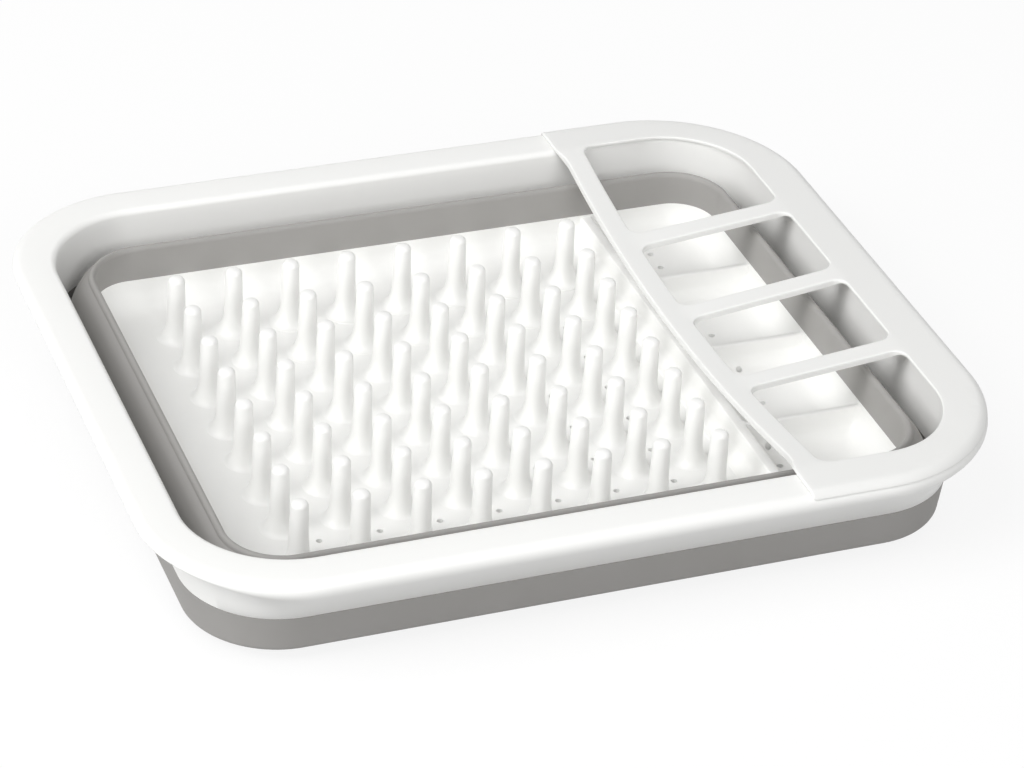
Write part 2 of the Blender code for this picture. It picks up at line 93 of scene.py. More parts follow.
Point = tuple[float, float]
Place = tuple[float, float, float]
Face = tuple[int, ...]


def smooth(share: float) -> float:
    """Returns a share from 0 to 1 with an even start and an even end."""
    share = min(max(share, 0.0), 1.0)
    return share * share * (3 - 2 * share)


def mix(low: float, high: float, share: float) -> float:
    """Returns the value at a share of the way from low to high."""
    return low + (high - low) * share


@dataclass(frozen=True)
class Outline:
    """A rectangle in plan with four corner radii.

    The radii go round from the corner at +X and +Y, counter-clockwise.
    """

    low: Point
    high: Point
    radii: tuple[float, float, float, float]

    def grown(self, by: float) -> "Outline":
        """Returns the outline moved outward."""
        return Outline(
            (self.low[0] - by, self.low[1] - by),
            (self.high[0] + by, self.high[1] + by),
            tuple(radius + by for radius in self.radii),
        )

    def toward(self, other: "Outline", share: float) -> "Outline":
        """Returns the outline at a share of the way to another."""
        return Outline(
            tuple(mix(a, b, share) for a, b in zip(self.low, other.low)),
            tuple(mix(a, b, share) for a, b in zip(self.high, other.high)),
            tuple(mix(a, b, share) for a, b in zip(self.radii, other.radii)),
        )

    def corner(self, quarter: int) -> tuple[Vector, float]:
        """Returns the middle and the radius of one corner's arc."""
        side_x, side_y = QUADRANTS[quarter]
        radius = self.radii[quarter]
        x = self.high[0] - radius if side_x > 0 else self.low[0] + radius
        y = self.high[1] - radius if side_y > 0 else self.low[1] + radius
        return Vector((x, y)), radius

    def loop(self, spacing: float = 0.0) -> list[Vector]:
        """Returns the outline's points, counter-clockwise, at most a spacing apart if one is given."""
        points = []
        for quarter in range(len(QUADRANTS)):
            middle, radius = self.corner(quarter)
            for step in range(-1, CORNER_STEPS + 2):
                share = min(max(step, 0), CORNER_STEPS) / CORNER_STEPS
                angle = math.radians(90 * (quarter + share))
                out = Vector((math.cos(angle), math.sin(angle)))
                beyond = (step > CORNER_STEPS) - (step < 0)
                points.append(middle + out * radius + Vector((-out.y, out.x)) * TIE * beyond)
        if not spacing:
            return points
        fine = []
        for start, end in zip(points, points[1:] + points[:1]):
            steps = max(1, math.ceil((end - start).length / spacing))
            fine += [start.lerp(end, step / steps) for step in range(steps)]
        return fine

    def distance(self, x: float, y: float) -> tuple[float, Vector]:
        """Returns a place's distance from the outline, negative inside, and the way straight out."""
        place = Vector((x, y))
        for quarter, (side_x, side_y) in enumerate(QUADRANTS):
            middle, radius = self.corner(quarter)
            away = place - middle
            if away.x * side_x > 0 and away.y * side_y > 0:
                return away.length - radius, away.normalized()
        sides = (
            (x - self.high[0], Vector((1, 0))), (self.low[0] - x, Vector((-1, 0))),
            (y - self.high[1], Vector((0, 1))), (self.low[1] - y, Vector((0, -1))),
        )
        return max(sides, key=lambda side: side[0])


def oblong(half_x: float, half_y: float, left: float, right: float) -> Outline:
    """Returns an outline about the tub's middle, with one radius at each end."""
    return Outline((TUB_X - half_x, -half_y), (TUB_X + half_x, half_y), (right, left, left, right))


# Plans of the tub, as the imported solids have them, with an opening 1 mm wider to the front and the back
OPENING = oblong(0.1639, 0.1345, 0.0423, 0.0423)
RIM = oblong(0.1823, 0.1540, 0.0605, 0.0670)
SKIRT = oblong(0.1653, 0.1349, 0.0403, 0.0403)
FOLD = SKIRT.grown(-0.0015)
RIDGE_INSIDE = oblong(0.1463, 0.1184, 0.0227, 0.0227)
TRAY = oblong(0.1457, 0.1178, 0.0186, 0.0186)
COVER_OPENING = oblong(0.1601, 0.1333, 0.0380, 0.0380)
RIM_EDGE = 0.0045


def finish_mesh(name: str, points: Iterable[Iterable[float]], faces: Iterable[Face]) -> bpy.types.Mesh:
    """Makes a smooth mesh whose faces point outward, with its hard edges marked sharp."""
    mesh = bpy.data.meshes.new(name)
    mesh.from_pydata([tuple(point) for point in points], [], list(faces))
    model = bmesh.new()
    model.from_mesh(mesh)
    bmesh.ops.recalc_face_normals(model, faces=model.faces)
    model.to_mesh(mesh)
    model.free()
    mesh.shade_smooth()
    mesh.set_sharp_from_angle(angle=SHARP_ANGLE)
    return mesh


def level(outline: Outline, height: float) -> list[Vector]:
    """Returns an outline's points at one height."""
    return [Vector((point.x, point.y, height)) for point in outline.loop()]


def hoop(name: str, rows: list[list[Vector]]) -> bpy.types.Mesh:
    """Skins loops of equal length, in order round a section, into a closed ring-shaped wall."""
    count = len(rows[0])
    faces = []
    for row in range(len(rows)):
        low, high = row * count, (row + 1) % len(rows) * count
        for index in range(count):
            after = (index + 1) % count
            faces.append((low + index, low + after, high + after, high + index))
    return finish_mesh(name, (point for row in rows for point in row), faces)


def turned(profile: list[Point], sides: int) -> tuple[list[Vector], list[Face]]:
    """Turns a profile of (radius, height) pairs about the upright axis into a closed solid.

    The profile runs from the top's middle to the bottom's middle, both of radius 0.
    """
    points = [Vector((0, 0, profile[0][1]))]
    for radius, height in profile[1:-1]:
        for side in range(sides):
            angle = 2 * math.pi * side / sides
            points.append(Vector((radius * math.cos(angle), radius * math.sin(angle), height)))
    points.append(Vector((0, 0, profile[-1][1])))
    rings = len(profile) - 2
    faces = []
    for side in range(sides):
        after = (side + 1) % sides
        faces.append((0, 1 + side, 1 + after))
        for ring in range(rings - 1):
            low, high = 1 + ring * sides, 1 + (ring + 1) * sides
            faces.append((low + side, high + side, high + after, low + after))
        last = 1 + (rings - 1) * sides
        faces.append((last + side, len(points) - 1, last + after))
    return points, faces


def arc(middle: Point, radius: float, start: float, end: float, steps: int) -> list[Point]:
    """Returns an arc's points in a section as (out, up), between two angles above level in degrees."""
    angles = [math.radians(mix(start, end, step / steps)) for step in range(steps + 1)]
    return [(middle[0] + radius * math.cos(angle), middle[1] + radius * math.sin(angle)) for angle in angles]


def moulded_sheet(
    name: str,
    loops: list[list[Vector]],
    lines: list[tuple[Vector, Vector]],
    extra: list[Vector],
    keep: Callable[[float, float], bool],
    upper: Callable[[float, float], Vector],
    lower: Callable[[float, float], Vector],
) -> bpy.types.Mesh:
    """Makes a closed moulding from a flat pattern and the places of its two faces.

    Args:
        name: the mesh's name.
        loops: closed lines of the pattern, such as edges and holes.
        lines: straight lines of the pattern, where its form changes.
        extra: further points of the pattern.
        keep: whether the pattern has material at a place.
        upper: where the upper face has a place of the pattern.
        lower: where the lower face has it.

    Returns:
        The closed mesh.
    """
    points, edges = [], []
    for loop in loops:
        first = len(points)
        points += loop
        edges += [(first + index, first + (index + 1) % len(loop)) for index in range(len(loop))]
    for start, end in lines:
        edges.append((len(points), len(points) + 1))
        points += [start, end]
    points += extra
    flat, _, cells, *_ = delaunay_2d_cdt([point / MM for point in points], edges, [], 0, 1e-4, False)
    places = [(point.x * MM, point.y * MM) for point in flat]
    kept = []
    for cell in cells:
        x = sum(places[index][0] for index in cell) / len(cell)
        y = sum(places[index][1] for index in cell) / len(cell)
        if keep(x, y):
            kept.append(tuple(cell))
    used = sorted({index for cell in kept for index in cell})
    number = {index: order for order, index in enumerate(used)}
    count = len(used)
    top = [tuple(number[index] for index in cell) for cell in kept]
    directed = {(cell[i], cell[(i + 1) % len(cell)]) for cell in top for i in range(len(cell))}
    faces = list(top)
    faces += [tuple(index + count for index in reversed(cell)) for cell in top]
    faces += [(b, a, a + count, b + count) for a, b in directed if (b, a) not in directed]
    solid = [upper(*places[index]) for index in used] + [lower(*places[index]) for index in used]
    return finish_mesh(name, solid, faces)


def grid(low: Point, high: Point, spacing: float) -> list[Vector]:
    """Returns evenly spaced points over a rectangle in plan."""
    steps_x = max(1, round((high[0] - low[0]) / spacing))
    steps_y = max(1, round((high[1] - low[1]) / spacing))
    return [
        Vector((mix(low[0], high[0], i / steps_x), mix(low[1], high[1], j / steps_y)))
        for i in range(steps_x + 1) for j in range(steps_y + 1)
    ]


def add_piece(name: str, mesh: bpy.types.Mesh) -> bpy.types.Object:
    """Links a mesh as an object at the origin."""
    piece = bpy.data.objects.new(name, mesh)
    bpy.context.scene.collection.objects.link(piece)
    return piece


def linear(code: str) -> tuple[float, float, float, float]:
    """Turns an sRGB colour written as six hex digits into linear values."""
    values = [int(code[index:index + 2], 16) / 255 for index in (0, 2, 4)]
    lit = [value / 12.92 if value <= 0.04045 else ((value + 0.055) / 1.055) ** 2.4 for value in values]
    return (*lit, 1.0)


def add_node(tree: bpy.types.NodeTree, kind: str, inputs: dict | None = None, **settings) -> bpy.types.Node:
    """Adds a node, with a value or a linked output for each named or numbered input."""
    node = tree.nodes.new(kind)
    for key, value in settings.items():
        setattr(node, key, value)
    for key, value in (inputs or {}).items():
        if isinstance(value, bpy.types.NodeSocket):
            tree.links.new(value, node.inputs[key])
        else:
            node.inputs[key].default_value = value
    return node


def calculate(tree: bpy.types.NodeTree, operation: str, *inputs) -> bpy.types.NodeSocket:
    """Adds a maths node for an operation and returns its result."""
    return add_node(tree, "ShaderNodeMath", dict(enumerate(inputs)), operation=operation).outputs[0]


def seen_rays(tree: bpy.types.NodeTree) -> bpy.types.NodeSocket:
    """Returns 1 for a ray from the camera or a reflection, and 0 for light that only bounces."""
    ray = add_node(tree, "ShaderNodeLightPath").outputs
    return calculate(tree, "MAXIMUM", ray["Is Camera Ray"], ray["Is Glossy Ray"])


@dataclass(frozen=True)
class Plastic:
    """A moulded plastic: a base colour that drifts a little, a fine mould grain and an uneven gloss."""

    name: str
    colour: str
    drift_colour: str
    roughness: float
    roughness_swing: float
    ior: float
    drift_mm: float
    grain_mm: float
    grain_depth_mm: float
    grain_strength: float

    def make(self) -> bpy.types.Material:
        """Builds the material, whose patterns read object coordinates in metres."""
        material = bpy.data.materials.new(self.name)
        material.use_nodes = True
        tree = material.node_tree
        shader = tree.nodes["Principled BSDF"]
        place = add_node(tree, "ShaderNodeTexCoord").outputs["Object"]
        # A noise of scale 1 has features about a metre across, so its scale is 1 m over their size
        drift = add_node(
            tree, "ShaderNodeTexNoise", {"Vector": place, "Scale": 1 / (self.drift_mm * MM), "Detail": 3.0},
        )
        tint = add_node(
            tree, "ShaderNodeMix",
            {"Factor": drift.outputs["Fac"], 6: linear(self.colour), 7: linear(self.drift_colour)},
            data_type="RGBA",
        )
        tree.links.new(tint.outputs[2], shader.inputs["Base Color"])
        gloss = add_node(
            tree, "ShaderNodeMapRange",
            {
                "Value": drift.outputs["Fac"],
                "To Min": self.roughness - self.roughness_swing,
                "To Max": self.roughness + self.roughness_swing,
            },
        )
        tree.links.new(gloss.outputs["Result"], shader.inputs["Roughness"])
        grain = add_node(
            tree, "ShaderNodeTexNoise", {"Vector": place, "Scale": 1 / (self.grain_mm * MM), "Detail": 2.0},
        )
        bump = add_node(
            tree, "ShaderNodeBump",
            {
                "Height": grain.outputs["Fac"],
                "Strength": self.grain_strength,
                "Distance": self.grain_depth_mm * MM,
            },
        )
        tree.links.new(bump.outputs["Normal"], shader.inputs["Normal"])
        shader.inputs["IOR"].default_value = self.ior
        return material


class Finish(Enum):
    """The finishes that the drainer's pieces come in."""

    # Polypropylene, injection moulded in a finely etched tool: a clean white with a soft satin sheen
    TRAY = Plastic(
        "polypropylene_moulded_white_tray", "FAFAF8", "F8F8F6", 0.42, 0.03, 1.49, 60, 0.9, 0.02, 0.25,
    )
    RIM = Plastic(
        "polypropylene_moulded_white_rim", "FAFAF8", "F8F8F6", 0.40, 0.03, 1.49, 80, 0.9, 0.02, 0.25,
    )
    # The same plastic from its own tool, a touch cooler and greyer than the rim
    FRAME = Plastic(
        "polypropylene_moulded_white_frame", "F2F2F0", "F0F0EE", 0.38, 0.03, 1.49, 70, 0.9, 0.02, 0.25,
    )
    # Thermoplastic rubber moulded onto the plastic: a warm mid grey, matt, with a faint mottle
    BELLOWS = Plastic(
        "thermoplastic_rubber_moulded_grey", "A4A2A0", "9E9C99", 0.62, 0.05, 1.50, 25, 0.7, 0.03, 0.35,
    )
    # A denser rubber for the pads, darker from contact with the worktop
    PAD = Plastic(
        "thermoplastic_rubber_pressed_grey_pad", "7C7876", "73706E", 0.70, 0.05, 1.50, 8, 0.7, 0.03, 0.35,
    )


class Wardrobe:
    """Makes each finish once and puts it on pieces."""

    def __init__(self) -> None:
        """Starts with no finish made."""
        self.made: dict[Finish, bpy.types.Material] = {}

    def get(self, finish: Finish) -> bpy.types.Material:
        """Returns a finish's material."""
        if finish not in self.made:
            self.made[finish] = finish.value.make()
        return self.made[finish]

    def dress(self, piece: bpy.types.Object, finish: Finish, slot: str) -> None:
        """Gives a piece its material and logs its face count."""
        piece.data.materials.clear()
        piece.data.materials.append(self.get(finish))
        LOG.info("%s: %d faces, %s", piece.name, len(piece.data.polygons), finish.value.name)


@dataclass
class Rim:
    """The stiff rim: a flat land, rounded edges, handles hollowed under its ends, and the skirt."""

    wardrobe: Wardrobe
    skirt_wall: float = 0.0020
    opening_edge: float = 0.0028
    lip_height: float = 0.0060
    lip_edge: float = 0.0015
    left_lip_share: float = 0.60
    hollow_out: float = 0.0014
    hollow_fillet: float = 0.0034
    skirt_edge: float = 0.0003
    slope_angle: float = -39.6
    hollow_from: float = 84.0
    hollow_whole: float = 22.0
    wall_steps: int = 8
    nose_steps: int = 12
    lip_steps: int = 4
    foot_steps: int = 3

    def hollow_shares(self) -> list[float]:
        """Returns, for each point of a loop, how much of the handle's hollow is there."""
        shares = []
        for quarter in range(len(QUADRANTS)):
            for step in range(-1, CORNER_STEPS + 2):
                part = min(max(step, 0), CORNER_STEPS) / CORNER_STEPS
                from_end = 90 * (part if quarter % 2 == 0 else 1 - part)
                shares.append(smooth((self.hollow_from - from_end) / (self.hollow_from - self.hollow_whole)))
        return shares

    def side_section(self, width: float) -> list[Point]:
        """Returns the outer face of the front and back as (out from the skirt, height)."""
        section = arc((width - RIM_EDGE, RIM_TOP - RIM_EDGE), RIM_EDGE, 90, self.slope_angle, self.nose_steps)
        return section + self.down_to_foot(section[-1], self.wall_steps)

    def down_to_foot(self, start: Point, steps: int) -> list[Point]:
        """Returns the straight line from a section's point to the skirt's foot."""
        foot = SKIRT_BOTTOM + self.skirt_edge
        shares = [step / steps for step in range(1, steps + 1)]
        return [(mix(start[0], 0, share), mix(start[1], foot, share)) for share in shares]

    def end_section(self, width: float, lip_share: float) -> list[Point]:
        """Returns the outer face of an end, with the handle's hollow, as (out from the skirt, height).

        The lip's thickness there is a share of the whole one.
        """
        section = arc((width - RIM_EDGE, RIM_TOP - RIM_EDGE), RIM_EDGE, 90, 0, EDGE_STEPS)
        lip = RIM_TOP - self.lip_height
        under = (width - self.lip_edge, lip + self.lip_edge)
        section += arc(under, self.lip_edge, 0, -90, self.lip_steps)[1:]
        section = [(out, mix(RIM_TOP, up, lip_share)) for out, up in section]
        lip = mix(RIM_TOP, lip, lip_share)
        center = (self.hollow_out + self.hollow_fillet, lip - self.hollow_fillet)
        section += arc(center, self.hollow_fillet, 90, 180, self.lip_steps)
        return section + self.down_to_foot(section[-1], self.foot_steps)

    def build(self) -> bpy.types.Object:
        """Builds the rim, which stands for its solid and rides on the rim's body."""
        inside = SKIRT.grown(-self.skirt_wall)
        rows = [level(inside.grown(self.skirt_edge), SKIRT_BOTTOM)]
        top_of_wall = RIM_TOP - self.opening_edge
        for step in range(self.wall_steps + 1):
            share = step / self.wall_steps
            height = mix(SKIRT_BOTTOM + self.skirt_edge, top_of_wall, share)
            rows.append(level(inside.toward(OPENING, share), height))
        for out, up in arc((0, 0), self.opening_edge, 180, 90, EDGE_STEPS)[1:]:
            rows.append(level(OPENING.grown(self.opening_edge + out), top_of_wall + up))

        skirt = SKIRT.loop()
        outer = RIM.loop()
        side_width = RIM.high[1] - SKIRT.high[1]
        end_width = RIM.high[0] - SKIRT.high[0]
        shares = self.hollow_shares()
        right_end = self.end_section(end_width, 1.0)
        left_end = self.end_section(end_width, self.left_lip_share)
        for side, right, left in zip(self.side_section(side_width), right_end, left_end):
            row = []
            for share, start, reach in zip(shares, skirt, outer):
                end = left if start.x < TUB_X else right
                out = mix(side[0] / side_width, end[0] / end_width, share)
                place = start.lerp(reach, out)
                row.append(Vector((place.x, place.y, mix(side[1], end[1], share))))
            rows.append(row)
        rows.append(level(SKIRT.grown(-self.skirt_edge), SKIRT_BOTTOM))
        piece = add_piece("rim", hoop("rim", rows))
        self.wardrobe.dress(piece, Finish.RIM, "white_rim")
        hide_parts("rim_frame")
        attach(piece, "rim")
        return piece


@dataclass
class Bellows:
    """The soft wall: an outer band under the skirt, a folding middle band and an inner band on the tray."""

    wardrobe: Wardrobe
    wall: float = 0.0016
    play: float = 0.0003
    bend_height: float = 0.0022
    swell: float = 0.0030
    swell_lean: float = 0.60
    steps: int = 16
    bend_steps: int = 10

    def band(self, name: str, low: Outline, high: Outline, bottom: float, top: float) -> bpy.types.Mesh:
        """Makes a plain band whose outside runs from one outline at the bottom to another at the top."""
        rows = []
        for inset, way in ((0.0, 1), (self.wall, -1)):
            for step in range(self.steps + 1)[::way]:
                share = step / self.steps
                rows.append(level(low.toward(high, share).grown(-inset), mix(bottom, top, share)))
        return hoop(name, rows)

    def slope(self, crest: Outline, cup: Outline) -> list[list[Vector]]:
        """Returns the rows of one face of the middle band, which swells most just below its crest."""
        rows = []
        for step in range(1, self.steps):
            share = step / self.steps
            swell = self.swell * math.sin(math.pi * share ** self.swell_lean)
            height = mix(INNER_BAND_TOP, OUTER_BAND_BOTTOM, share)
            rows.append(level(crest.toward(cup, share).grown(swell), height))
        return rows

    def middle(self) -> bpy.types.Mesh:
        """Makes the folding band with its crest over the inner band and its bend under the outer band."""
        turns = [math.pi * step / self.bend_steps for step in range(self.bend_steps + 1)]
        bend = [(self.wall * (1 - math.cos(turn)), self.bend_height * math.sin(turn)) for turn in turns]
        crest = [level(RIDGE_INSIDE.grown(out), INNER_BAND_TOP + up) for out, up in bend]
        cup = [level(FOLD.grown(-out), OUTER_BAND_BOTTOM - up) for out, up in bend]
        across = 2 * self.wall
        thin = self.wall - self.play
        crest_out, crest_in = RIDGE_INSIDE.grown(across), RIDGE_INSIDE.grown(across - thin)
        cup_out, cup_in = FOLD.grown(thin - across), FOLD.grown(-across)
        rows = crest + self.slope(crest_out, cup_out)
        rows += [level(cup_out, OUTER_BAND_BOTTOM)] + cup
        rows += self.slope(crest_in, cup_in)[::-1]
        rows += [level(crest_in, INNER_BAND_TOP)]
        return hoop("bellows_middle", rows)

    def build(self) -> list[bpy.types.Object]:
        """Builds the three bands: the outer one rides on the rim, the inner one on the base, and the middle
        one stays where it is built.
        """
        mesh = self.band("bellows_outer", FOLD, SKIRT, OUTER_BAND_BOTTOM, SKIRT_BOTTOM)
        outer = add_piece("bellows_outer", mesh)
        tray_out, ridge_out = TRAY.grown(self.wall), RIDGE_INSIDE.grown(self.wall)
        mesh = self.band("bellows_inner", tray_out, ridge_out, TRAY_TOP, INNER_BAND_TOP)
        inner = add_piece("bellows_inner", mesh)
        middle = add_piece("bellows_middle", self.middle())
        pieces = [outer, inner, middle]
        for piece in pieces:
            self.wardrobe.dress(piece, Finish.BELLOWS, "grey_bellows")
        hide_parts("bellows_outer_band")
        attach(outer, "rim")
        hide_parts("bellows_inner_band")
        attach(inner, "base")
        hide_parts("bellows_middle_band")
        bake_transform(middle)
        return pieces


@dataclass(frozen=True)
class Wall:
    """The section of an upright wall of the tray: a rounded top, drafted sides and a fillet at its foot."""

    half: float
    top: float
    fillet: float
    edge: float = 0.0008
    draft: float = 0.0005
    edge_angles: tuple[int, ...] = (30, 60, 90)
    fillet_angles: tuple[int, ...] = (0, 12, 25, 38, 52, 66, 80, 90)

    def height(self, across: float, floor: float) -> float:
        """Returns the wall's height at a distance across it, which is the floor's beyond the fillet."""
        across = abs(across)
        flat = self.half - self.edge
        foot = self.half + self.draft
        if across <= flat:
            return self.top
        if across <= self.half:
            return self.top - self.edge + math.sqrt(max(self.edge ** 2 - (across - flat) ** 2, 0))
        if across <= foot:
            return mix(self.top - self.edge, floor + self.fillet, (across - self.half) / self.draft)
        over = min(across - foot, self.fillet)
        return floor + self.fillet - math.sqrt(max(self.fillet ** 2 - (self.fillet - over) ** 2, 0))

    def stations(self) -> list[float]:
        """Returns the distances from the middle plane at which the section is sampled."""
        places = [0.0, self.half - self.edge]
        for angle in self.edge_angles:
            places.append(self.half - self.edge * (1 - math.sin(math.radians(angle))))
        foot = self.half + self.draft
        for angle in self.fillet_angles:
            places.append(foot + self.fillet * (1 - math.cos(math.radians(angle))))
        return places


@dataclass
class Tray:
    """The base tray: coved sides, a dished floor, the divider, the compartments' ribs and drain holes."""

    wardrobe: Wardrobe
    wall: float = 0.0022
    cove: float = 0.0120
    dish: float = 0.0012
    dish_reach: float = 0.0630
    divider_x: float = 0.0900
    divider: Wall = Wall(0.0025, 0.0254, 0.0060)
    rib: Wall = Wall(0.0013, 0.0251, 0.0075)
    rib_places: tuple[float, ...] = (-0.0598, 0.0, 0.0598)
    hole: float = 0.0014
    hole_steps: int = 16
    peg_first_x: float = -0.1133
    peg_last_y: float = 0.0877
    pitch_x: float = 0.025857
    pitch_y: float = 0.025057
    cells: int = 7
    cutlery_holes: tuple[Point, ...] = (
        (0.1143, 0.0969), (0.1143, 0.0849), (0.1143, 0.0251), (0.1143, -0.0054),
        (0.1143, -0.0311), (0.1143, -0.0682), (0.1021, -0.0646), (0.1021, -0.0777),
    )
    softness: float = 8.0
    cove_angles: tuple[int, ...] = (0, 6, 14, 23, 32, 41, 50, 59, 68, 79, 90)
    line_spacing: float = 0.0040
    line_inside: float = 0.0030
    coarse: float = 0.0060
    coarse_margin: float = 0.0160
    coarse_to_divider: float = 0.0090
    fine: float = 0.0018
    fine_margin: float = 0.0010
    fine_to_divider: float = 0.0030
    point_margin: float = 0.0005
    hole_clear_share: float = 1.3

    def floor_height(self, x: float, y: float) -> float:
        """Returns the height of the dished floor, without its coves."""
        share_x = smooth((TRAY.high[0] - TUB_X - self.cove - abs(x - TUB_X)) / self.dish_reach)
        share_y = smooth((TRAY.high[1] - self.cove - abs(y)) / self.dish_reach)
        return FLOOR_TOP + self.dish * (1 - share_x * share_y)

    def bowl_height(self, x: float, y: float) -> float:
        """Returns the height of the floor and its coves."""
        inset = -TRAY.distance(x, y)[0]
        floor = self.floor_height(x, y)
        if inset >= self.cove:
            return floor
        if inset < AT_EDGE:
            return TRAY_TOP
        return floor + self.cove - math.sqrt(self.cove ** 2 - (self.cove - inset) ** 2)

    def upper(self, x: float, y: float) -> Vector:
        """Returns the place of the tray's inner face, walls included."""
        bowl = self.bowl_height(x, y)
        floor = self.floor_height(x, y)
        heights = [bowl, self.divider.height(x - TUB_X - self.divider_x, floor)]
        if x - TUB_X > self.divider_x:
            heights += [self.rib.height(y - place, floor) for place in self.rib_places]
        soft = floor + sum((height - floor) ** self.softness for height in heights) ** (1 / self.softness)
        capped = min(soft, max(self.divider.top, bowl)) if max(heights) > bowl else bowl
        return Vector((x, y, max(min(soft, capped), *heights)))

    def lower(self, x: float, y: float) -> Vector:
        """Returns the place of the tray's underside."""
        distance, out = TRAY.distance(x, y)
        inset = -distance
        if inset >= self.cove:
            return Vector((x, y, self.floor_height(x, y) - self.wall))
        level_share = min((self.cove - max(inset, 0)) / self.cove, 1.0)
        place = Vector((x, y)) + out * self.wall * level_share
        if inset < AT_EDGE:
            return Vector((place.x, place.y, TRAY_TOP))
        down = math.sqrt(1 - level_share ** 2)
        height = self.floor_height(x, y) + self.cove - (self.cove + self.wall) * down
        return Vector((place.x, place.y, height))

    def holes(self) -> list[Point]:
        """Returns the places of the drain holes."""
        places = [
            (self.peg_first_x + (column + 0.5) * self.pitch_x, -self.peg_last_y + (row + 0.5) * self.pitch_y)
            for column in range(self.cells) for row in range(self.cells)
        ]
        return [(TUB_X + x, y) for x, y in places + list(self.cutlery_holes)]

    def build(self) -> bpy.types.Object:
        """Builds the tray, which stands for its solid and rides on the base."""
        insets = [self.cove * (1 - math.cos(math.radians(angle))) for angle in self.cove_angles]
        insets.append(self.cove + self.line_inside)
        loops = [TRAY.grown(-inset).loop(self.line_spacing) for inset in insets]
        places = self.holes()
        for x, y in places:
            angles = [2 * math.pi * step / self.hole_steps for step in range(self.hole_steps)]
            loops.append([Vector((x + self.hole * math.cos(a), y + self.hole * math.sin(a))) for a in angles])
        lines = []
        divider = TUB_X + self.divider_x
        reach_y = TRAY.high[1] + self.wall
        for station in self.divider.stations():
            for x in (divider - station, divider + station):
                lines.append((Vector((x, -reach_y)), Vector((x, reach_y))))
        for place in self.rib_places:
            for station in self.rib.stations():
                for y in (place - station, place + station):
                    lines.append((Vector((divider, y)), Vector((TRAY.high[0] + self.wall, y))))
        half_y = TRAY.high[1] - self.coarse_margin
        left = TRAY.low[0] + self.coarse_margin
        extra = grid((left, -half_y), (divider - self.coarse_to_divider, half_y), self.coarse)
        half_y = TRAY.high[1] - self.fine_margin
        right = TRAY.high[0] - self.fine_margin
        extra += grid((divider + self.fine_to_divider, -half_y), (right, half_y), self.fine)
        extra = [point for point in extra if TRAY.distance(point.x, point.y)[0] < -self.point_margin]
        clear = self.hole * self.hole_clear_share
        extra = [p for p in extra if all((p.x - x) ** 2 + (p.y - y) ** 2 > clear ** 2 for x, y in places)]

        def keep(x: float, y: float) -> bool:
            """Says whether the tray has material at a place."""
            if TRAY.distance(x, y)[0] > 0:
                return False
            inner = self.hole * math.cos(math.pi / self.hole_steps)
            return all((x - hole_x) ** 2 + (y - hole_y) ** 2 > inner ** 2 for hole_x, hole_y in places)

        mesh = moulded_sheet("tray", loops, lines, extra, keep, self.upper, self.lower)
        piece = add_piece("tray", mesh)
        self.wardrobe.dress(piece, Finish.TRAY, "white_tray")
        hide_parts("base_tray")
        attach(piece, "base")
        return piece


